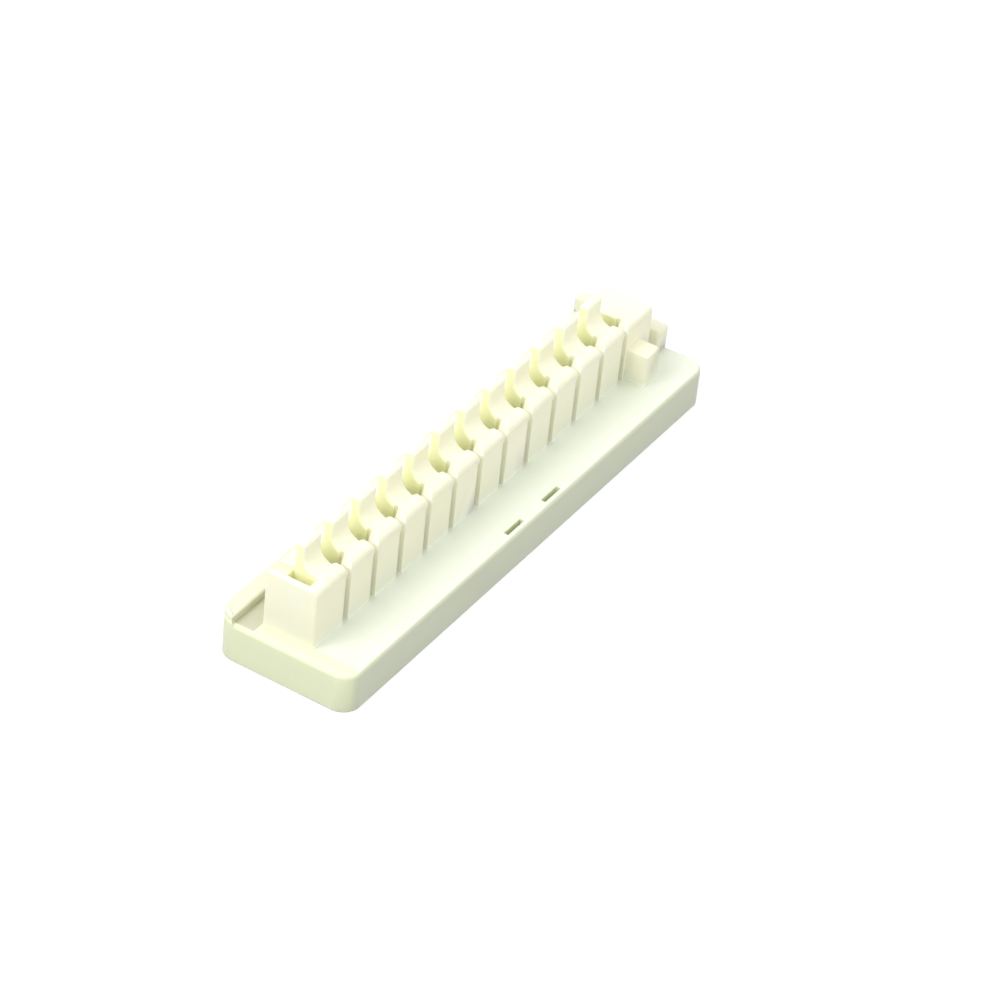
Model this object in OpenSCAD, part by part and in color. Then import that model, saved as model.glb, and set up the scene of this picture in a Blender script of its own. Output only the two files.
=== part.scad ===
// Twelve-way insulation-displacement wiring connector.
// Wires are pressed from above into the slots of a comb, onto forked contacts,
// and a pin header plugs into the hollow base from below.
// X runs along the row of slots, the front is -Y, and the base rim stands on Z = 0.

/* [Slots] */
// Number of wire slots
ways = 12; // [2:1:20]
// Distance between slot centres
pitch = 2.5; // [2.2:0.05:4]
// Width of a wire slot
slot_w = 0.9; // [0.8:0.05:1.1]
// Width of the slit at each end of a slot, where the wire passes
slit_gap = 0.5; // [0.4:0.05:0.6]
// How far each side of a slit opens out at its mouth
lead_in = 0.12; // [0.05:0.01:0.15]
// Gap between the wall around a slit and the contact's fork
slit_clear = 0.1; // [0.05:0.01:0.15]
// How far a wire-holding nib stands into a slit
nib_d = 0.1; // [0.05:0.01:0.12]
// Height of a nib
nib_h = 0.8; // [0.6:0.05:1.2]

/* [Comb] */
// Width of the solid tooth at each end of the comb
end_tooth_w = 2.5; // [2:0.1:4]
// Depth of the comb from front to rear
comb_d = 3.2; // [3:0.1:5]
// Height of the comb's shoulders above the base
comb_h = 3.85; // [3.2:0.05:5]
// Radius of the shoulders' outer edges
shoulder_r = 0.5; // [0.2:0.05:0.55]
// Height of the blade that stands on the comb, above the shoulders
blade_h = 1.65; // [0.6:0.05:2]
// Thickness of the blade
blade_t = 0.6; // [0.4:0.05:0.7]
// Radius of the cove in front of the blade
front_cove_r = 0.8; // [0.1:0.05:0.85]
// Radius of the cove behind the blade
rear_cove_r = 0.4; // [0.1:0.05:0.45]
// How far the blade's middle is set back from the comb's middle
blade_set = 0.2; // [0:0.05:0.25]
// How far the blade stops short of the comb's left end
step_w = 0.9; // [0.7:0.05:1.2]
// How far the bare tops of the end teeth lie below the shoulders
step_drop = 0.15; // [0.05:0.05:0.3]
// Thickness of the wall at the left end, beside the recess in the first tooth
end_skin_t = 0.3; // [0.2:0.05:0.5]
// Depth of that recess below the shoulders
recess_depth = 1.8; // [0.5:0.1:3]

/* [Base] */
// Height of the base
base_h = 2.45; // [2.2:0.05:4]
// Radius of the base's upright corners
corner_r = 1.1; // [0.7:0.05:1.4]
// Width of the open ledge in front of the comb
front_ledge = 2.95; // [2:0.05:4]
// Width of the ledge at the comb's left end
left_ledge = 0.85; // [0.5:0.05:2]
// Thickness of the web between the comb and the hollow base
web_t = 0.8; // [0.6:0.05:1.2]
// Thickness of the skirt wall
skirt_t = 0.6; // [0.5:0.05:0.65]

/* [Rail] */
// Thickness of the rear rail
rail_t = 1.05; // [0.8:0.05:2]
// Height of the rail above the base
rail_h = 0.5; // [0.3:0.1:2.5]
// Width of the channel between the comb and the rear rail
rear_channel = 1.25; // [0.5:0.05:2]
// Thickness of the wall at the right end
end_wall_t = 1.1; // [0.8:0.05:2]
// Height of the end wall above the base
end_wall_h = 1.5; // [0.8:0.1:2.5]
// Gap between the comb and the end wall
end_gap = 0.85; // [0.3:0.05:2]
// How far the end wall runs in front of the comb
end_wall_reach = 0.2; // [0:0.05:1.5]

/* [Key rib] */
// Width of the key rib along X
key_w = 1.4; // [0.8:0.1:2]
// How far the key rib stands out in front of the last tooth
key_d = 1.3; // [0.5:0.1:1.8]
// Height of the key rib above the base
key_h = 2.1; // [1:0.1:3.2]

/* [Latch pockets] */
// Distance between the centres of the two latch pockets
latch_pitch = 3.75; // [2.5:0.05:8]
// Length of a latch pocket along X
latch_l = 1.6; // [0.8:0.1:2.4]
// Depth of a latch pocket into the skirt wall
latch_depth = 0.28; // [0.15:0.01:0.3]
// Height of the catch left below a latch pocket
latch_catch_h = 0.9; // [0.5:0.05:1.2]

/* [Pin sockets] */
// Depth from front to rear of the island that holds the pin sockets
island_d = 3; // [2.6:0.1:3.2]
// How far the island runs past the first and the last slot
island_end = 1; // [0.6:0.1:2]
// Height of the island's lower face above the rim
island_lift = 0.25; // [0.1:0.05:0.4]
// Side of the square pin window
window_w = 0.7; // [0.5:0.05:0.75]
// Thickness of the floor around the pin window
window_floor_t = 0.35; // [0.2:0.05:0.5]
// Width of the lead-in chamfer around the pin window
window_lead = 0.15; // [0.05:0.05:0.2]

/* [Contacts] */
// Thickness of the contact's sheet metal
sheet_t = 0.18; // [0.14:0.01:0.2]
// Distance between the two forks of a contact, centre to centre
fork_pitch = 1.5; // [1.4:0.05:1.9]
// Height of a fork above the web
fork_h = 2.4; // [1.8:0.1:2.8]
// Width of the slit in a fork
slit_w = 0.3; // [0.2:0.02:0.4]
// Height of the uncut root below the slit
fork_root_h = 0.7; // [0.4:0.05:1]
// Depth of the guide groove in each side of a slot
groove_d = 0.15; // [0.1:0.05:0.3]
// Clearance all round a contact in its seat
seat_clear = 0.04; // [0.02:0.01:0.06]
// Width of a spring beam from front to rear
beam_w = 0.9; // [0.6:0.05:1.1]
// Opening between the two spring beams at their pinch
pinch_gap = 0.3; // [0.24:0.02:0.36]
// Height of the flared lip below the pinch
flare_h = 0.25; // [0.15:0.05:0.35]

/* [Hidden] */
$fn = 48;
// Overshoot that keeps cuts and joins clear of shared faces
over = 0.01;

// Overall plan of the base
comb_l = (ways - 1) * pitch + slot_w + 2 * end_tooth_w;
base_l = left_ledge + comb_l + end_gap + end_wall_t;
base_w = front_ledge + comb_d + rear_channel + rail_t;

// Comb limits
comb_x0 = left_ledge - base_l / 2;
comb_x1 = comb_x0 + comb_l;
comb_y0 = front_ledge - base_w / 2;
comb_y1 = comb_y0 + comb_d;
comb_mid_y = (comb_y0 + comb_y1) / 2;
shoulder_z = base_h + comb_h;
comb_top = shoulder_z + blade_h;
blade_y0 = comb_mid_y + blade_set - blade_t / 2;
blade_y1 = blade_y0 + blade_t;
slit_wall_t = (comb_d - fork_pitch - sheet_t) / 2 - slit_clear;

// Slots, counted from 1 at the left
function slot_x(i) = comb_x0 + end_tooth_w + slot_w / 2 + (i - 1) * pitch;

// Hollow below the web
web_z = base_h - web_t;
window_z = island_lift + window_floor_t;

// Contact limits
fork_w = slot_w + 2 * groove_d - 2 * seat_clear;
strip_w = slot_w - 2 * seat_clear;
beam_foot_z = window_z + seat_clear;
beam_pinch_z = beam_foot_z + flare_h;
plate_top_z = base_h + sheet_t;
fork_top_z = base_h + fork_h;

function two_digits(i) = str(i < 10 ? "0" : "", i);
function contact_name(i) = str("contact_", two_digits(i));

// Rectangle centred on the origin, with round corners
module round_plate(l, w, r) {
    square([l - 2 * r, w], center = true);
    square([l, w - 2 * r], center = true);
    for (sx = [-1, 1], sy = [-1, 1])
        translate([sx * (l / 2 - r), sy * (w / 2 - r)])
            circle(r);
}

// Box given by its lowest and highest corner
module box(low, high) {
    translate(low)
        cube(high - low);
}

// Outline in Y and Z, carried along X from x0 to x1
module along_x(x0, x1) {
    translate([x0, 0, 0])
        rotate([90, 0, 90])
            linear_extrude(x1 - x0)
                children();
}

// Outline in X and Z, carried along Y from y0 to y1
module along_y(y0, y1) {
    translate([0, y1, 0])
        rotate([90, 0, 0])
            linear_extrude(y1 - y0)
                children();
}

// Base block with round corners
module base_block() {
    linear_extrude(base_h)
        round_plate(base_l, base_w, corner_r);
}

// Hollow of the skirt, open at the rim
module skirt_hollow() {
    translate([0, 0, -over])
        linear_extrude(web_z + over)
            round_plate(base_l - 2 * skirt_t, base_w - 2 * skirt_t, corner_r - skirt_t);
}

// Island that hangs below the web and holds the pin sockets
module island() {
    box([slot_x(1) - slot_w / 2 - island_end, comb_mid_y - island_d / 2, island_lift],
        [slot_x(ways) + slot_w / 2 + island_end, comb_mid_y + island_d / 2, web_z + over]);
}

// Rail along the rear edge and wall along the right end, within the base's outline
module rail() {
    intersection() {
        linear_extrude(comb_top)
            round_plate(base_l, base_w, corner_r);
        union() {
            box([-base_l, base_w / 2 - rail_t, web_z], [base_l, base_w, base_h + rail_h]);
            box([base_l / 2 - end_wall_t, comb_y0 - end_wall_reach, web_z],
                [base_l, base_w, base_h + end_wall_h]);
        }
    }
}

// Quarter arc in Y and Z about a centre, from a start angle, one way or the other round
function quarter(y, z, r, start, way) = [
    for (n = [0 : $fn / 4])
        let (turn = start + way * n * 360 / $fn)
            [y + r * cos(turn), z + r * sin(turn)]
];

// Outline of the comb in Y and Z: a round shoulder at the front and at the rear, and the blade between them
module comb_outline() {
    arc_z = shoulder_z - shoulder_r;
    polygon(concat(
        [[comb_y0, base_h - over], [comb_y1, base_h - over]],
        quarter(comb_y1 - shoulder_r, arc_z, shoulder_r, 0, 1),
        quarter(blade_y1 + rear_cove_r, shoulder_z + rear_cove_r, rear_cove_r, 270, -1),
        [[blade_y1, comb_top], [blade_y0, comb_top]],
        quarter(blade_y0 - front_cove_r, shoulder_z + front_cove_r, front_cove_r, 360, -1),
        quarter(comb_y0 + shoulder_r, arc_z, shoulder_r, 90, 1)
    ));
}

// Comb as one block, with the key rib in front of its last tooth
module comb_block() {
    key_x0 = slot_x(ways) + slot_w / 2;
    along_x(comb_x0, comb_x1)
        comb_outline();
    box([key_x0, comb_y0 - key_d, base_h - over], [key_x0 + key_w, comb_y0 + over, base_h + key_h]);
}

// Slit in X and Z: straight sides, a pair of nibs near the top, and slopes to press a wire down
module slit_outline() {
    right = [
        [slit_gap / 2, base_h],
        [slit_gap / 2, shoulder_z - nib_h],
        [slit_gap / 2 - nib_d, shoulder_z - nib_h * 3 / 4],
        [slit_gap / 2 - nib_d, shoulder_z - nib_h / 2],
        [slit_gap / 2 + lead_in, shoulder_z],
        [slit_gap / 2 + lead_in, comb_top + over]
    ];
    left = [for (n = [len(right) - 1 : -1 : 0]) [-right[n].x, right[n].y]];
    polygon(concat(right, left));
}

// Wire slot with a slit at each end, its two pairs of guide grooves, and the way down to its pin socket
module slot_cut(i) {
    groove_w = sheet_t + 2 * seat_clear;
    translate([slot_x(i), 0, 0]) {
        box([-slot_w / 2, comb_y0 + slit_wall_t, base_h],
            [slot_w / 2, comb_y1 - slit_wall_t, comb_top + over]);
        along_y(comb_y0 - over, comb_y1 + over)
            slit_outline();
        for (side = [-1, 1])
            translate([0, comb_mid_y + side * fork_pitch / 2, 0])
                box([-slot_w / 2 - groove_d, -groove_w / 2, base_h],
                    [slot_w / 2 + groove_d, groove_w / 2, comb_top + over]);
        translate([0, comb_mid_y, 0])
            socket_cut();
    }
}

// Beam cavity, pin window and the window's lead-in
module socket_cut() {
    cavity_w = beam_w + 2 * seat_clear;
    lead_w = window_w / 2 + window_lead;
    box([-slot_w / 2, -cavity_w / 2, window_z], [slot_w / 2, cavity_w / 2, base_h + over]);
    box([-window_w / 2, -window_w / 2, 0], [window_w / 2, window_w / 2, window_z + over]);
    box([-lead_w, -lead_w, 0], [lead_w, lead_w, island_lift + window_lead]);
}

// Bare top of an end tooth, from x0 to x1
module step_cut(x0, x1) {
    box([x0, comb_y0 - over, shoulder_z - step_drop], [x1, comb_y1 + over, comb_top + over]);
}

// Recess in the first tooth, between its end wall and the blade's end
module recess_cut() {
    box([comb_x0 + end_skin_t, comb_y0 + slit_wall_t, shoulder_z - recess_depth],
        [comb_x0 + step_w, blade_y1, comb_top + over]);
}

// Latch pocket in the skirt's front wall, which opens through the ledge as a slit
module latch_cut(x_middle) {
    wall_y = skirt_t - base_w / 2;
    box([x_middle - latch_l / 2, wall_y - latch_depth, latch_catch_h],
        [x_middle + latch_l / 2, wall_y + over, base_h + over]);
}

// One-piece moulding
module housing() {
    color("ivory")
        difference() {
            union() {
                difference() {
                    base_block();
                    skirt_hollow();
                }
                island();
                rail();
                comb_block();
            }
            for (i = [1:ways])
                slot_cut(i);
            step_cut(comb_x0 - over, comb_x0 + step_w);
            step_cut(slot_x(ways), comb_x1 + over);
            recess_cut();
            for (side = [-1, 1])
                latch_cut(side * latch_pitch / 2);
        }
}

// Fork outline in X and Z: a plate with a slit that opens in a V at the top
module fork_outline() {
    mouth_z = fork_top_z - fork_w / 4;
    polygon([
        [-fork_w / 2, base_h],
        [fork_w / 2, base_h],
        [fork_w / 2, mouth_z],
        [fork_w / 4, fork_top_z],
        [slit_w / 2, mouth_z],
        [slit_w / 2, base_h + fork_root_h],
        [-slit_w / 2, base_h + fork_root_h],
        [-slit_w / 2, mouth_z],
        [-fork_w / 4, fork_top_z],
        [-fork_w / 2, mouth_z]
    ]);
}

// Right-hand spring beam in X and Z: down from the plate, in to the pinch and out to the lip
module beam_outline() {
    outer = strip_w / 2;
    pinch = pinch_gap / 2;
    lip = outer - sheet_t;
    bend_z = base_h - sheet_t;
    polygon([
        [outer - sheet_t, plate_top_z],
        [outer, plate_top_z],
        [outer, bend_z],
        [pinch + sheet_t, beam_pinch_z],
        [outer, beam_foot_z],
        [lip, beam_foot_z],
        [pinch, beam_pinch_z],
        [outer - sheet_t, bend_z]
    ]);
}

// One stamped contact: a plate on the web, two forks up and two spring beams down
module contact(i) {
    plate_y = fork_pitch / 2 + sheet_t / 2;
    color("silver")
        translate([slot_x(i), comb_mid_y, 0]) {
            box([-strip_w / 2, -plate_y, base_h], [strip_w / 2, plate_y, plate_top_z]);
            for (side = [-1, 1])
                translate([0, side * fork_pitch / 2, 0])
                    along_y(-sheet_t / 2, sheet_t / 2)
                        fork_outline();
            for (turn = [0, 180])
                rotate([0, 0, turn])
                    along_y(-beam_w / 2, beam_w / 2)
                        beam_outline();
        }
}

housing();
for (i = [1:ways]) {
    contact(i);
}
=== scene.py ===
"""Scene of a twelve-way insulation-displacement wiring connector.

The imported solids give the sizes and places. The moulding is shown as a merged copy of its solid with
rounded edges and the marks that a mould leaves, and each contact as a copy with sheared edges.
Lengths in the classes are in millimetres, and MM turns them into the frame's metres.
"""

import logging
import math
from dataclasses import dataclass
from enum import Enum, IntEnum
from typing import Any

import bmesh
import bpy
import numpy as np
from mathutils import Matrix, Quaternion, Vector


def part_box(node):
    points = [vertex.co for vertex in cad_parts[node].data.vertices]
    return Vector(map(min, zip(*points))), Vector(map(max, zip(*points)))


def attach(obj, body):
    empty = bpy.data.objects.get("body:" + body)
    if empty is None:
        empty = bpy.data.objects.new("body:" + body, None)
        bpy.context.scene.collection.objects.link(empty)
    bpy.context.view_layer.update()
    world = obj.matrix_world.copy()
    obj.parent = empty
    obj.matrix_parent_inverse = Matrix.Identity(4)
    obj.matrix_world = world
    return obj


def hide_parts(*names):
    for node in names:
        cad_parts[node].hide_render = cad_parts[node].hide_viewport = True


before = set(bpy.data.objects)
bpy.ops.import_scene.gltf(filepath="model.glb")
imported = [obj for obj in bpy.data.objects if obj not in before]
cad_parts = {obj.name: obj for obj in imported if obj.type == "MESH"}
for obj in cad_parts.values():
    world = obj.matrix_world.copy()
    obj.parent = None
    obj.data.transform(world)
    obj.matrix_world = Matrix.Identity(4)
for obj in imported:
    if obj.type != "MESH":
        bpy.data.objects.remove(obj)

MM = 0.001
BODY = "root"
LOG = logging.getLogger("connector")

Triple = tuple[float, float, float]
Colour = tuple[float, float, float]
Axes = tuple["Link", "Link", "Link"]


class Slot(Enum):
    """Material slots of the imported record."""

    PLASTIC = "ivory_plastic"
    METAL = "contact_metal"


class Axis(IntEnum):
    """Axes of the frame: along the row of slots, from front to rear, and up."""

    X = 0
    Y = 1
    Z = 2


@dataclass(frozen=True)
class Layout:
    """Sizes and places of the moulding's forms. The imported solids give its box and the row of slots.

    Heights other than the base's are measured from the ledge, which is the base's top.
    """

    housing: str = "housing"
    contact: str = "contact"
    base_h: float = 2.45
    corner_r: float = 1.1
    comb_d: float = 3.2
    shoulder_h: float = 3.85
    slot_w: float = 0.9
    slit_w: float = 0.5
    end_tooth_w: float = 2.5
    end_skin_t: float = 0.3
    step_w: float = 0.9
    rail_d: float = 1.05
    rail_h: float = 0.5
    end_wall_h: float = 1.5
    wall_reach: float = 0.2
    key_h: float = 2.1

    def contacts(self) -> list[str]:
        """Names of the contacts' nodes, from left to right."""
        return sorted(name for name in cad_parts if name.startswith(self.contact))

    def corners(self) -> tuple[np.ndarray, np.ndarray]:
        """Lower and upper corners of the moulding's box."""
        low, high = (np.array(corner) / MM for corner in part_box(self.housing))
        return low, high

    def slots(self) -> np.ndarray:
        """Middles of the slots in X and Y, one row for each contact."""
        boxes = np.array([[list(corner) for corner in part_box(name)] for name in self.contacts()])
        return boxes[:, :, :2].mean(axis=1) / MM

    def pitch(self) -> float:
        """Distance from one slot to the next."""
        return float(np.diff(self.slots()[:, Axis.X]).mean())

    def comb(self) -> tuple[np.ndarray, np.ndarray]:
        """Works out the comb's outline from the first and the last slot.

        Returns:
            Its lower and upper corners in X and Y.
        """
        slots = self.slots()
        half = np.array([self.slot_w / 2 + self.end_tooth_w, self.comb_d / 2])
        return slots[0] - half, slots[-1] + half


@dataclass(frozen=True)
class Fade:
    """Change from one value to another: how far past a form's edge its middle lies, and half its width."""

    past: float
    half: float


class Link:
    """Output of a shader node. Arithmetic on it adds Math nodes."""

    def __init__(self, shader: "Shader", socket: bpy.types.NodeSocket | None) -> None:
        """Wraps one output socket of a shader's node tree, or none for a node that has no output."""
        self.shader = shader
        self.socket = socket

    def math(self, operation: str, *others: "Link | float", first: float | None = None) -> "Link":
        """Adds one Math node.

        Args:
            operation: The node's operation.
            others: The values after this one.
            first: A number that comes before this one, for reflected operators.

        Returns:
            The node's result.
        """
        values = [self, *others] if first is None else [first, self, *others]
        return self.shader.node("ShaderNodeMath", {"operation": operation}, dict(enumerate(values)))

    def __add__(self, other: "Link | float") -> "Link":
        """This plus other."""
        return self.math("ADD", other)

    __radd__ = __add__

    def __sub__(self, other: "Link | float") -> "Link":
        """This minus other."""
        return self.math("SUBTRACT", other)

    def __rsub__(self, other: float) -> "Link":
        """Other minus this."""
        return self.math("SUBTRACT", first=other)

    def __mul__(self, other: "Link | float") -> "Link":
        """This times other."""
        return self.math("MULTIPLY", other)

    __rmul__ = __mul__

    def __truediv__(self, other: "Link | float") -> "Link":
        """This over other."""
        return self.math("DIVIDE", other)

    def __rtruediv__(self, other: float) -> "Link":
        """Other over this."""
        return self.math("DIVIDE", first=other)

    def __abs__(self) -> "Link":
        """Size of this without its sign."""
        return self.math("ABSOLUTE")

    def past(self, edge: float, fade: Fade) -> "Link":
        """Mask that rises smoothly from 0 to 1 as this passes an edge.

        Args:
            edge: Place of the edge.
            fade: How far past the edge the rise lies, and half its width.

        Returns:
            The mask.
        """
        middle = float(edge) + fade.past
        ends = {"Value": self, "From Min": middle - fade.half, "From Max": middle + fade.half}
        return self.shader.node("ShaderNodeMapRange", {"interpolation_type": "SMOOTHSTEP"}, ends)

    def before(self, edge: float, fade: Fade) -> "Link":
        """Mask that falls smoothly from 1 to 0 as this passes an edge."""
        return 1.0 - self.past(edge, fade)


class Shader:
    """Node tree of one material or of the world."""

    def __init__(self, owner: bpy.types.Material | bpy.types.World) -> None:
        """Empties the owner's node tree.

        Args:
            owner: The material or world.
        """
        owner.use_nodes = True
        self.owner = owner
        self.tree = owner.node_tree
        self.tree.nodes.clear()

    def node(
        self,
        kind: str,
        settings: dict[str, Any] | None = None,
        sockets: dict[str | int, Any] | None = None,
        output: str | int = 0,
    ) -> Link:
        """Adds one node.

        Args:
            kind: The node's type.
            settings: Its properties, set before its sockets.
            sockets: Values or links of its input sockets, by name or number.
            output: The output socket to hand back, by name or number.

        Returns:
            That output.
        """
        made = self.tree.nodes.new(kind)
        for name, value in (settings or {}).items():
            setattr(made, name, value)
        for name, value in (sockets or {}).items():
            if isinstance(value, Link):
                self.tree.links.new(value.socket, made.inputs[name])
            else:
                made.inputs[name].default_value = value
        return Link(self, made.outputs[output] if len(made.outputs) else None)

    def place(self) -> Link:
        """Object coordinates, in metres."""
        return self.node("ShaderNodeTexCoord", output="Object")

    def axes(self, place: Link) -> Axes:
        """The X, Y and Z parts of a place, in millimetres."""
        parts = self.node("ShaderNodeSeparateXYZ", None, {0: place}).socket.node.outputs
        return Link(self, parts[0]) / MM, Link(self, parts[1]) / MM, Link(self, parts[2]) / MM

    def noise(self, place: Link, feature: float, detail: float) -> Link:
        """Fractal noise from 0 to 1.

        Args:
            place: Coordinates in metres.
            feature: Size of its features in millimetres.
            detail: How many finer layers it has.

        Returns:
            The noise.
        """
        values = {"Vector": place, "Scale": 1.0 / (feature * MM), "Detail": detail}
        return self.node("ShaderNodeTexNoise", None, values, "Fac")

    def stretched(self, place: Link, scale: Triple) -> Link:
        """A place with each axis multiplied by its own number."""
        return self.node("ShaderNodeVectorMath", {"operation": "MULTIPLY"}, {0: place, 1: scale})

    def mix(self, share: Link, low: Link | Colour, high: Link | Colour) -> Link:
        """Colour between low and high.

        A Mix node for colours has its share at socket 0, its colours at 6 and 7 and its result at 2.

        Args:
            share: How much of high, from 0 to 1.
            low: Colour at 0.
            high: Colour at 1.

        Returns:
            The mixed colour.
        """
        ends = [end if isinstance(end, Link) else (*end, 1.0) for end in (low, high)]
        return self.node("ShaderNodeMix", {"data_type": "RGBA"}, {0: share, 6: ends[0], 7: ends[1]}, 2)

    def bump(self, height: Link, depth: float) -> Link:
        """Normal that follows a height map from 0 to 1, where 1 stands for depth in millimetres."""
        return self.node("ShaderNodeBump", None, {"Strength": 1.0, "Distance": depth * MM, "Height": height})

    def seen_directly(self) -> Link:
        """Reads what kind of ray meets the surface.

        Returns:
            A mask that is 1 for a ray from the camera, a mirror or glass.
        """
        rays = self.node("ShaderNodeLightPath").socket.node.outputs
        kinds = ("Is Camera Ray", "Is Glossy Ray", "Is Transmission Ray")
        camera, glossy, clear = (Link(self, rays[kind]) for kind in kinds)
        return camera.math("MAXIMUM", glossy).math("MAXIMUM", clear)

    def finish(self, surface: Link) -> bpy.types.Material | bpy.types.World:
        """Joins the surface to the owner's output.

        Args:
            surface: The last shader.

        Returns:
            The owner.
        """
        kind = "World" if isinstance(self.owner, bpy.types.World) else "Material"
        self.node(f"ShaderNodeOutput{kind}", None, {"Surface": surface})
        return self.owner


@dataclass(frozen=True)
class IvoryPlastic:
    """Ivory moulding plastic: cloudy flow marks and a fine eroded texture.

    The comb is painted in shade low down, where it meets the ledge, and grows lighter upwards. The skirt is
    greener, with painted shade on its front. The ledge is painted cooler, partly as a painted sheen, and
    warmer and brighter at its left end, partly as painted light. The walls of the slots and of the recess
    are painted yellower as painted bounce light, and the slits get painted shade low down and painted light
    higher up. The channel behind the comb is painted in shade.
    """

    layout: Layout
    ivory: Colour = (0.98, 0.97, 0.75)
    cream: Colour = (0.97, 0.955, 0.715)
    # Painted shade: the comb is darker where it meets the ledge and grows lighter upwards
    foot_shade: Colour = (0.78, 0.785, 0.63)
    # Partly painted sheen: the ledge's top is painted cooler and bluer
    ledge_sheen: Colour = (0.84, 0.88, 0.76)
    # Partly painted light: the ledge's left end is painted warmer and brighter
    ledge_end_light: Colour = (0.93, 0.92, 0.64)
    skirt: Colour = (0.76, 0.805, 0.565)
    # Painted shade: the skirt's front, turned away from the lamps, is painted darker
    skirt_front_shade: Colour = (0.65, 0.69, 0.53)
    # Painted light: yellow light bouncing between the walls of the slots and of the recess
    slot_bounce_light: Colour = (0.94, 0.95, 0.60)
    # Painted shade low in the slits
    slit_shade: Colour = (0.80, 0.81, 0.66)
    # Painted light higher up in the slits
    slit_light: Colour = (0.985, 0.975, 0.78)
    # Painted shade in the channel behind the comb
    shade: Colour = (0.60, 0.60, 0.44)
    # Fades upwards, from the ledge
    foot_shade_fade: Fade = Fade(1.6, 1.6)
    ledge_fade: Fade = Fade(0.15, 0.13)
    rim_fade: Fade = Fade(-0.06, 0.05)
    slot_bounce_fade: Fade = Fade(2.15, 0.8)
    slit_foot: Fade = Fade(0.02, 0.02)
    slit_shade_fade: Fade = Fade(1.7, 1.7)
    channel_floor: Fade = Fade(-0.02, 0.01)
    # Fades along the row, from the comb's left end, the recess's ends, the last slot and the end wall
    ledge_end_light_fade: Fade = Fade(0.2, 0.2)
    recess_left: Fade = Fade(-0.03, 0.02)
    recess_right: Fade = Fade(0.03, 0.02)
    row_edge: Fade = Fade(0.7, 0.02)
    channel_end: Fade = Fade(-0.02, 0.02)
    # Fades away from a slot's middle, from the walls of the slot and of its slits
    slot_edge: Fade = Fade(0.05, 0.04)
    slit_edge: Fade = Fade(0.04, 0.03)
    # Fades to the rear, from the skirt's front, the comb's front, the comb's rear and the rail
    skirt_front_shade_fade: Fade = Fade(0.13, 0.12)
    slot_front: Fade = Fade(0.655, 0.1)
    channel_front: Fade = Fade(0.055, 0.03)
    channel_rear: Fade = Fade(0.025, 0.02)
    # Texture, gloss and scattering
    cloud: float = 3.5
    cloud_stretch: Triple = (0.45, 1.0, 1.0)
    cloud_level: float = 0.5
    cloud_fade: Fade = Fade(0.0, 0.22)
    grain: float = 0.07
    grain_depth: float = 0.004
    grain_share: float = 0.6
    pit: float = 0.6
    pit_depth: float = 0.006
    roughness: float = 0.42
    roughness_spread: float = 0.14
    refraction: float = 1.5
    scatter_weight: float = 0.45
    scatter_radius: Triple = (1.0, 0.85, 0.5)
    scatter_scale: float = 0.6

    def outside(self, shader: Shader, place: Link, axes: Axes) -> Link:
        """Colour of the skirt, the ledge and the comb.

        Args:
            shader: The material's node tree.
            place: Object coordinates in metres.
            axes: Their parts in millimetres.

        Returns:
            The colour.
        """
        along, depth, height = axes
        base_h = self.layout.base_h
        low, _ = self.layout.corners()
        comb_low, _ = self.layout.comb()
        clouds = shader.noise(shader.stretched(place, self.cloud_stretch), self.cloud, detail=3.0)
        flow = shader.mix(clouds.past(self.cloud_level, self.cloud_fade), self.ivory, self.cream)
        # Painted shade low on the comb, fading out upwards
        comb = shader.mix(height.past(base_h, self.foot_shade_fade), self.foot_shade, flow)
        # The ledge: partly painted light at its left end, partly painted sheen further right
        ledge = shader.mix(along.past(comb_low[Axis.X], self.ledge_end_light_fade), self.ledge_end_light, self.ledge_sheen)
        # Painted shade on the skirt's front
        skirt = shader.mix(depth.past(low[Axis.Y], self.skirt_front_shade_fade), self.skirt_front_shade, self.skirt)
        # The skirt's colours, its painted front shade among them, reach up onto the rounded rim
        base = shader.mix(height.past(base_h, self.rim_fade), skirt, ledge)
        return shader.mix(height.past(base_h, self.ledge_fade), base, comb)

    def off_slot(self, along: Link) -> tuple[Link, Link]:
        """Distance from the nearest slot of the row, and a mask of the row's length.

        Distances from the row's middle are counted in pitches past its last slot, and what they differ
        from the nearest whole number by is the distance from a slot.

        Args:
            along: X in millimetres.

        Returns:
            The distance in millimetres, and the mask.
        """
        places = self.layout.slots()[:, Axis.X]
        pitch = self.layout.pitch()
        half_row = float(places[-1] - places[0]) / 2
        from_middle = abs(along - float(places.mean()))
        turns = (from_middle - half_row) / pitch
        return abs(turns - turns.math("ROUND")) * pitch, from_middle.before(half_row, self.row_edge)

    def in_channel(self, axes: Axes) -> Link:
        """Finds the channel between the comb and the rail, as far as the end wall.

        Args:
            axes: Parts of the place in millimetres.

        Returns:
            Its mask.
        """
        along, depth, height = axes
        _, high = self.layout.corners()
        _, comb_high = self.layout.comb()
        across = depth.past(comb_high[Axis.Y], self.channel_front)
        across *= depth.before(high[Axis.Y] - self.layout.rail_d, self.channel_rear)
        length = along.before(high[Axis.X] - self.layout.corner_r, self.channel_end)
        return across * length * height.past(self.layout.base_h, self.channel_floor)

    def colour(self, shader: Shader, place: Link, axes: Axes) -> Link:
        """Colour of the whole moulding: the outside, then the slots, the recess, the slits and the channel.

        Args:
            shader: The material's node tree.
            place: Object coordinates in metres.
            axes: Their parts in millimetres.

        Returns:
            The colour.
        """
        along, depth, height = axes
        base_h = self.layout.base_h
        comb_low, _ = self.layout.comb()
        away, in_row = self.off_slot(along)
        behind = depth.past(comb_low[Axis.Y], self.slot_front)
        in_slot = in_row * away.before(self.layout.slot_w / 2, self.slot_edge)
        in_recess = along.past(comb_low[Axis.X] + self.layout.end_skin_t, self.recess_left)
        in_recess *= along.before(comb_low[Axis.X] + self.layout.step_w, self.recess_right)
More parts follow.
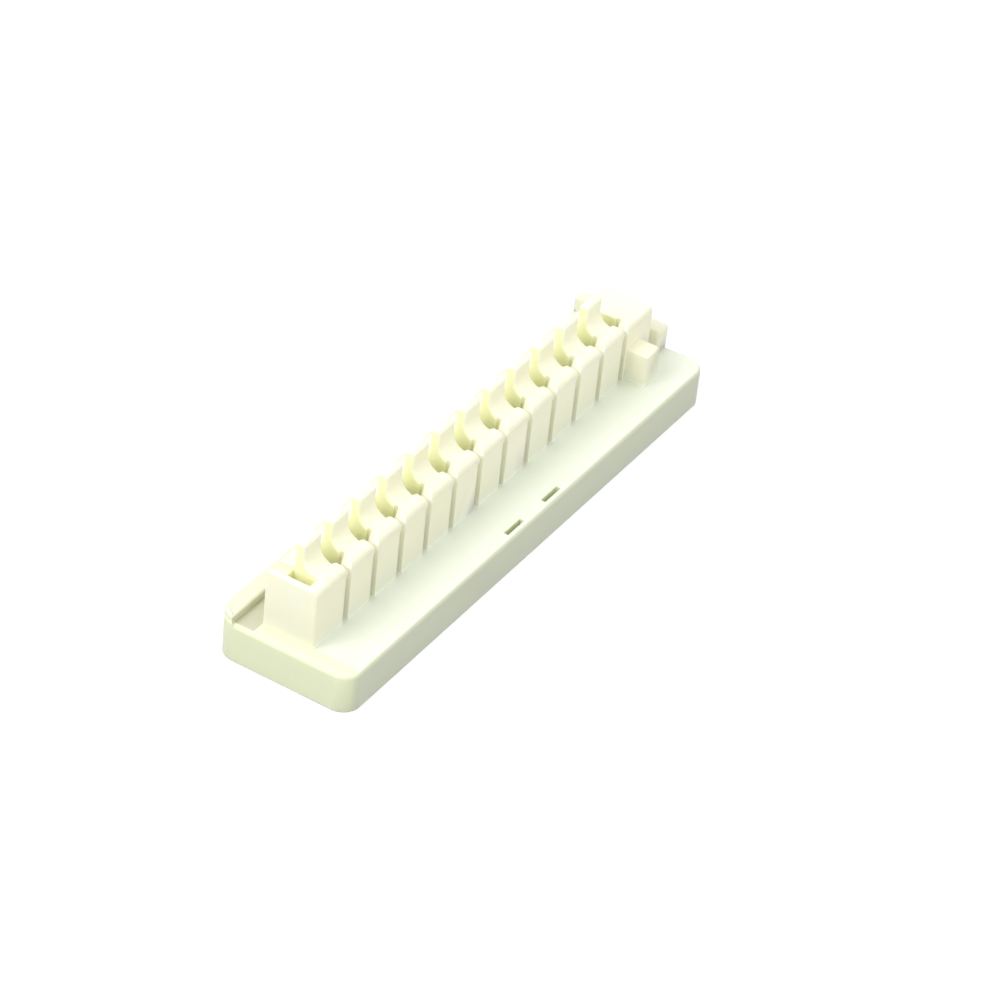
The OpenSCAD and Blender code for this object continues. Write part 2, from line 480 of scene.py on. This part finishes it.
        # Painted bounce light: the walls of the slots and of the recess, behind the slits and above the
        # ledge, turn yellower
        wall = in_slot.math("MAXIMUM", in_recess) * height.past(base_h, self.slot_bounce_fade)
        walls = shader.mix(wall * behind, self.outside(shader, place, axes), self.slot_bounce_light)
        in_slit = in_row * away.before(self.layout.slit_w / 2, self.slit_edge) * (1.0 - behind)
        # The slits: painted shade low down, giving way to painted light higher up
        slit = shader.mix(height.before(base_h, self.slit_shade_fade), self.slit_light, self.slit_shade)
        slits = shader.mix(in_slit * height.past(base_h, self.slit_foot), walls, slit)
        # Painted shade in the channel behind the comb
        return shader.mix(self.in_channel(axes), slits, self.shade)

    def material(self) -> bpy.types.Material:
        """Builds the material.

        Returns:
            The finished material.
        """
        shader = Shader(bpy.data.materials.new(Slot.PLASTIC.value))
        place = shader.place()
        grain = shader.noise(place, self.grain, detail=2.0)
        pits = shader.noise(place, self.pit, detail=4.0)
        relief = grain * self.grain_share + pits * (self.pit_depth / self.grain_depth)
        surface = shader.node(
            "ShaderNodeBsdfPrincipled",
            None,
            {
                "Base Color": self.colour(shader, place, shader.axes(place)),
                "Roughness": pits * self.roughness_spread + (self.roughness - self.roughness_spread / 2),
                "Normal": shader.bump(relief, self.grain_depth),
                "IOR": self.refraction,
                "Subsurface Weight": self.scatter_weight,
                "Subsurface Radius": self.scatter_radius,
                "Subsurface Scale": self.scatter_scale * MM,
            },
        )
        return shader.finish(surface)


@dataclass(frozen=True)
class StampedMetal:
    """Rolled, tinned and stamped strip: rolling lines, dull patches and a satin surface."""

    bright: Colour = (0.80, 0.80, 0.77)
    tarnish: Colour = (0.60, 0.59, 0.55)
    line: float = 0.05
    line_stretch: Triple = (1.0, 1.0, 0.06)
    line_depth: float = 0.003
    line_roughness: float = 0.16
    stain: float = 0.9
    stain_level: float = 0.56
    stain_fade: Fade = Fade(0.0, 0.18)
    stain_share: float = 0.6
    stain_roughness: float = 0.18
    roughness: float = 0.28

    def material(self) -> bpy.types.Material:
        """Builds the material.

        Returns:
            The finished material.
        """
        shader = Shader(bpy.data.materials.new(Slot.METAL.value))
        place = shader.place()
        lines = shader.noise(shader.stretched(place, self.line_stretch), self.line, detail=2.0)
        stains = shader.noise(place, self.stain, detail=4.0).past(self.stain_level, self.stain_fade)
        roughness = lines * self.line_roughness + stains * self.stain_roughness + self.roughness
        surface = shader.node(
            "ShaderNodeBsdfPrincipled",
            None,
            {
                "Base Color": shader.mix(stains * self.stain_share, self.bright, self.tarnish),
                "Roughness": roughness,
                "Normal": shader.bump(lines, self.line_depth),
                "Metallic": 1.0,
            },
        )
        return shader.finish(surface)


@dataclass(frozen=True)
class PaleFloor:
    """White sweep: the camera and mirrors see it near white with a faint shadow, the object a soft grey."""

    glow: float = 0.8
    lit: Colour = (0.28, 0.28, 0.28)
    bounce: Colour = (0.25, 0.25, 0.25)

    def material(self) -> bpy.types.Material:
        """Builds the material.

        Returns:
            The finished material.
        """
        shader = Shader(bpy.data.materials.new("pale_floor"))
        lit = shader.node("ShaderNodeBsdfDiffuse", None, {"Color": (*self.lit, 1.0)})
        glow = shader.node("ShaderNodeEmission", None, {"Strength": self.glow})
        shown = shader.node("ShaderNodeAddShader", None, {0: lit, 1: glow})
        dull = shader.node("ShaderNodeBsdfDiffuse", None, {"Color": (*self.bounce, 1.0)})
        surface = shader.node("ShaderNodeMixShader", None, {0: shader.seen_directly(), 1: dull, 2: shown})
        return shader.finish(surface)


@dataclass(frozen=True)
class EdgeRule:
    """Radius for the edges that a mask picks."""

    mask: np.ndarray
    radius: float


@dataclass
class Edges:
    """What a merged solid's edges are like, as whole arrays in millimetres and degrees."""

    start: np.ndarray
    end: np.ndarray
    convex: np.ndarray
    angle: np.ndarray
    sharp_angle: float = 30.0
    slack: float = 0.003
    outline_slack: float = 0.02

    @staticmethod
    def of(solid: bmesh.types.BMesh) -> "Edges":
        """Reads the edges of a merged solid.

        Args:
            solid: The merged solid, in metres.

        Returns:
            Their arrays, in the solid's order.
        """
        ends = np.array([[vert.co[:] for vert in edge.verts] for edge in solid.edges]) / MM
        convex = np.array([edge.is_convex for edge in solid.edges])
        angle = np.degrees([edge.calc_face_angle(0.0) for edge in solid.edges])
        return Edges(ends[:, 0], ends[:, 1], convex, angle)

    @property
    def sharp(self) -> np.ndarray:
        """Mask of the edges where two faces meet at more than a slight angle."""
        return self.angle > self.sharp_angle

    def ends(self, axis: Axis) -> np.ndarray:
        """Places of the edges' two ends on one axis, one row for each end."""
        return np.stack([self.start[:, axis], self.end[:, axis]])

    def both(self, axis: Axis, value: float) -> np.ndarray:
        """Mask of the edges whose two ends are at a value on one axis."""
        return (np.abs(self.ends(axis) - value) < self.slack).all(axis=0)

    def within(self, axis: Axis, low: float, high: float) -> np.ndarray:
        """Mask of the edges whose two ends are from low to high on one axis."""
        ends = self.ends(axis)
        return ((ends > low - self.slack) & (ends < high + self.slack)).all(axis=0)

    def beside(self, axis: Axis, first: float, step: float, away: float) -> np.ndarray:
        """Mask of the edges whose two ends are a distance from the nearest of evenly spaced planes.

        Args:
            axis: The axis across the planes.
            first: Place of one of them.
            step: Distance between them.
            away: Distance of the edges from the nearest plane.

        Returns:
            The mask.
        """
        off = np.abs((self.ends(axis) - first + step / 2) % step - step / 2)
        return (np.abs(off - away) < self.slack).all(axis=0)

    def on_outline(self, half: np.ndarray, corner: float) -> np.ndarray:
        """Mask of the edges on the outline of a rectangle with round corners.

        A point's distance from the outline is the length of what its absolute X and Y exceed the inner
        rectangle by, less the corner's radius.

        Args:
            half: Half the rectangle's length and width.
            corner: Radius of its corners.

        Returns:
            The mask.
        """
        ends = np.stack([self.start, self.end])[:, :, :2]
        past = np.maximum(np.abs(ends) - (half - corner), 0.0)
        away = np.linalg.norm(past, axis=2) - corner
        return (np.abs(away) < self.outline_slack).all(axis=0)


@dataclass
class SolidCopy:
    """Shown copy of a CAD node: triangles merged, flat faces joined and chosen edges rounded."""

    node: str
    piece: str
    slot: Slot
    segments: int = 4
    merge_gap: float = 0.002
    flat_angle: float = 0.5

    def merged(self) -> bmesh.types.BMesh:
        """Merges a copy of the node's loose triangles and joins the flat ones.

        Returns:
            The merged solid.
        """
        solid = bmesh.new()
        solid.from_mesh(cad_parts[self.node].data)
        bmesh.ops.remove_doubles(solid, verts=solid.verts, dist=self.merge_gap * MM)
        flat = math.radians(self.flat_angle)
        bmesh.ops.dissolve_limit(solid, angle_limit=flat, verts=solid.verts, edges=solid.edges)
        return solid

    def rules(self, edges: Edges) -> list[EdgeRule]:
        """Radii of the solid's edges. A later rule holds over an earlier one."""
        raise NotImplementedError

    def radii(self, edges: Edges) -> np.ndarray:
        """Applies the rules in their order.

        Args:
            edges: The merged solid's edges.

        Returns:
            Radius of each edge, 0 where no rule picks it.
        """
        radii = np.zeros(len(edges.convex))
        for rule in self.rules(edges):
            radii[rule.mask] = rule.radius
        return radii

    def weighted(self, finish: bpy.types.Material) -> tuple[bpy.types.Mesh, float]:
        """Makes the mesh, with each edge's radius as its bevel weight and the plain edges kept sharp.

        Args:
            finish: Its material.

        Returns:
            The mesh, and the largest radius, which the weights are shares of.
        """
        solid = self.merged()
        edges = Edges.of(solid)
        radii = self.radii(edges)
        mesh = bpy.data.meshes.new(self.piece)
        solid.to_mesh(mesh)
        solid.free()
        weights = mesh.attributes.new("bevel_weight_edge", "FLOAT", "EDGE")
        weights.data.foreach_set("value", (radii / radii.max()).astype(np.float32))
        mesh.shade_smooth()
        creases = mesh.attributes.new("sharp_edge", "BOOLEAN", "EDGE")
        creases.data.foreach_set("value", edges.sharp & (radii == 0.0))
        mesh.materials.append(finish)
        LOG.info("%s: %d faces, %d rounded edges", self.piece, len(mesh.polygons), int((radii > 0).sum()))
        return mesh, float(radii.max())

    def build(self, finish: bpy.types.Material) -> bpy.types.Object:
        """Makes the piece, rounds it and dresses it.

        Args:
            finish: Its material.

        Returns:
            The piece, riding on the part's one body.
        """
        mesh, widest = self.weighted(finish)
        piece = bpy.data.objects.new(self.piece, mesh)
        bpy.context.scene.collection.objects.link(piece)
        rounding = piece.modifiers.new("rounding", "BEVEL")
        rounding.limit_method = "WEIGHT"
        rounding.width = widest * MM
        rounding.segments = self.segments
        rounding.use_clamp_overlap = False
        evening = piece.modifiers.new("evening", "WEIGHTED_NORMAL")
        evening.keep_sharp = True
        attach(piece, BODY)
        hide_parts(self.node)
        return piece


@dataclass
class Moulding(SolidCopy):
    """The one-piece ivory moulding: base, comb, rail, end wall and key rib."""

    slot: Slot = Slot.PLASTIC
    layout: Layout = Layout()
    blade_half: float = 0.62
    mouth_r: float = 0.05
    comb_end_r: float = 0.12
    blade_r: float = 0.2
    tip_r: float = 0.2
    rim_r: float = 0.3
    foot_r: float = 0.08
    rail_r: float = 0.15
    wall_r: float = 0.2
    wall_inner_r: float = 0.1
    key_r: float = 0.14

    def blade_sides(self, edges: Edges) -> np.ndarray:
        """Finds the blade's edges beside the slots.

        Args:
            edges: The merged solid's edges.

        Returns:
            Their mask.
        """
        _, high = self.layout.corners()
        first, middle = self.layout.slots()[0]
        shoulder = self.layout.base_h + self.layout.shoulder_h
        sides = edges.beside(Axis.X, first, self.layout.pitch(), self.layout.slot_w / 2)
        sides &= edges.within(Axis.Y, middle - self.blade_half, middle + self.blade_half)
        return sides & edges.within(Axis.Z, shoulder, high[Axis.Z])

    def rules(self, edges: Edges) -> list[EdgeRule]:
        """Radii of the moulding's edges, the outer ones larger than those of the slots.

        Args:
            edges: The merged solid's edges.

        Returns:
            The rules, of which a later one holds over an earlier one.
        """
        layout = self.layout
        base_h = layout.base_h
        low, high = layout.corners()
        comb_low, comb_high = layout.comb()
        hard = edges.convex & edges.sharp
        outer = edges.on_outline(high[:2], layout.corner_r)
        upper = edges.within(Axis.Z, base_h, high[Axis.Z])
        to_shoulder = edges.within(Axis.Z, base_h, base_h + layout.shoulder_h)
        comb_face = edges.both(Axis.Y, comb_low[Axis.Y]) | edges.both(Axis.Y, comb_high[Axis.Y])
        comb_end = edges.both(Axis.X, comb_low[Axis.X]) | edges.both(Axis.X, comb_high[Axis.X])
        wall_top = edges.both(Axis.Z, base_h + layout.end_wall_h)
        wall_inner = edges.both(Axis.X, high[Axis.X] - layout.corner_r)
        wall_front = edges.both(Axis.Y, comb_low[Axis.Y] - layout.wall_reach)
        return [
            EdgeRule(hard & upper & comb_face, self.mouth_r),
            EdgeRule(hard & to_shoulder & comb_end, self.comb_end_r),
            EdgeRule(hard & edges.both(Axis.Z, high[Axis.Z]), self.blade_r),
            EdgeRule(hard & self.blade_sides(edges), self.tip_r),
            EdgeRule(hard & outer & edges.both(Axis.Z, base_h), self.rim_r),
            EdgeRule(hard & outer & edges.both(Axis.Z, low[Axis.Z]), self.foot_r),
            EdgeRule(hard & edges.both(Axis.Z, base_h + layout.rail_h), self.rail_r),
            EdgeRule(hard & wall_top, self.wall_r),
            EdgeRule(hard & wall_top & wall_inner, self.wall_inner_r),
            EdgeRule(hard & upper & wall_front, self.wall_r),
            EdgeRule(hard & edges.both(Axis.Z, base_h + layout.key_h), self.key_r),
        ]


@dataclass
class Contact(SolidCopy):
    """One stamped contact in its slot."""

    slot: Slot = Slot.METAL
    segments: int = 2
    shear_r: float = 0.025

    def rules(self, edges: Edges) -> list[EdgeRule]:
        """One small radius for every sheared edge."""
        return [EdgeRule(edges.convex & edges.sharp, self.shear_r)]


@dataclass(frozen=True)
class Lamp:
    """One soft round lamp: its direction in degrees, its width, and how bright it makes a white surface."""

    name: str
    azimuth: float
    elevation: float
    size: float
    level: float


@dataclass
class Studio:
    """Floor, soft light and the camera, placed as the photograph shows the connector."""

    target: Triple = (-0.375, -1.94, 2.45)
    azimuth: float = -61.28
    elevation: float = 37.1
    distance: float = 219.8
    roll: float = 6.5
    lens: float = 146.1
    sensor: float = 36.0
    nearest: float = 10.0
    farthest: float = 10000.0
    floor_side: float = 3000.0
    floor_drop: float = 0.01
    ambient: Colour = (1.0, 1.0, 1.0)
    lamp_distance: float = 400.0
    key: Lamp = Lamp("key", azimuth=-115.0, elevation=45.0, size=200.0, level=0.42)
    fill: Lamp = Lamp("fill", azimuth=-35.0, elevation=12.0, size=300.0, level=0.15)

    @staticmethod
    def towards(azimuth: float, elevation: float) -> Vector:
        """Direction from the object to a viewer or a lamp.

        Args:
            azimuth: Degrees round the object, 0 in front and 90 at the right.
            elevation: Degrees above the floor.

        Returns:
            The direction, of length 1.
        """
        turn = math.radians(azimuth)
        rise = math.radians(elevation)
        level = math.cos(rise)
        return Vector((math.sin(turn) * level, -math.cos(turn) * level, math.sin(rise)))

    def lay_floor(self) -> None:
        """Lays the floor, a square sheet just below the part's rim."""
        half = self.floor_side / 2 * MM
        corners = np.array([[-1, -1], [1, -1], [1, 1], [-1, 1]]) * half
        points = np.column_stack([corners, np.full(4, -self.floor_drop * MM)])
        mesh = bpy.data.meshes.new("floor")
        mesh.from_pydata(points.tolist(), [], [[0, 1, 2, 3]])
        mesh.materials.append(PaleFloor().material())
        floor = bpy.data.objects.new("floor", mesh)
        bpy.context.scene.collection.objects.link(floor)

    def light(self) -> None:
        """Sets the even light all round and the large soft lamps.

        A lamp of power P at distance d lights a white surface that faces it to P over pi squared d squared.
        """
        shader = Shader(bpy.data.worlds.new("studio"))
        sky = shader.node("ShaderNodeBackground", None, {"Color": (*self.ambient, 1.0)})
        bpy.context.scene.world = shader.finish(sky)
        for lamp in (self.key, self.fill):
            data = bpy.data.lights.new(lamp.name, "AREA")
            data.shape = "DISK"
            data.size = lamp.size * MM
            data.energy = lamp.level * (math.pi * self.lamp_distance * MM) ** 2
            placed = bpy.data.objects.new(lamp.name, data)
            back = self.towards(lamp.azimuth, lamp.elevation)
            placed.location = back * self.lamp_distance * MM
            placed.rotation_mode = "QUATERNION"
            placed.rotation_quaternion = (-back).to_track_quat("-Z", "Y")
            bpy.context.scene.collection.objects.link(placed)

    def aim_camera(self) -> None:
        """Places the camera at the photograph's angle and makes it the scene's camera."""
        data = bpy.data.cameras.new("camera")
        data.sensor_width = self.sensor
        data.lens = self.lens
        data.clip_start = self.nearest * MM
        data.clip_end = self.farthest * MM
        camera = bpy.data.objects.new("camera", data)
        back = self.towards(self.azimuth, self.elevation)
        camera.location = (Vector(self.target) + back * self.distance) * MM
        camera.rotation_mode = "QUATERNION"
        level = (-back).to_track_quat("-Z", "Y")
        camera.rotation_quaternion = level @ Quaternion((0, 0, 1), math.radians(self.roll))
        bpy.context.scene.collection.objects.link(camera)
        bpy.context.scene.camera = camera

    def build(self) -> None:
        """Sets up the whole studio."""
        bpy.context.scene.view_settings.view_transform = "Standard"
        self.lay_floor()
        self.light()
        self.aim_camera()


def main() -> None:
    """Builds the studio, the moulding and the contacts."""
    logging.basicConfig(level=logging.INFO, format="%(name)s: %(message)s")
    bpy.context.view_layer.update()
    layout = Layout()
    Studio().build()
    plastic = IvoryPlastic(layout).material()
    metal = StampedMetal().material()
    Moulding(layout.housing, "housing_moulding", layout=layout).build(plastic)
    for node in layout.contacts():
        Contact(node, f"{node}_stamping").build(metal)


if __name__ == "__main__":
    main()
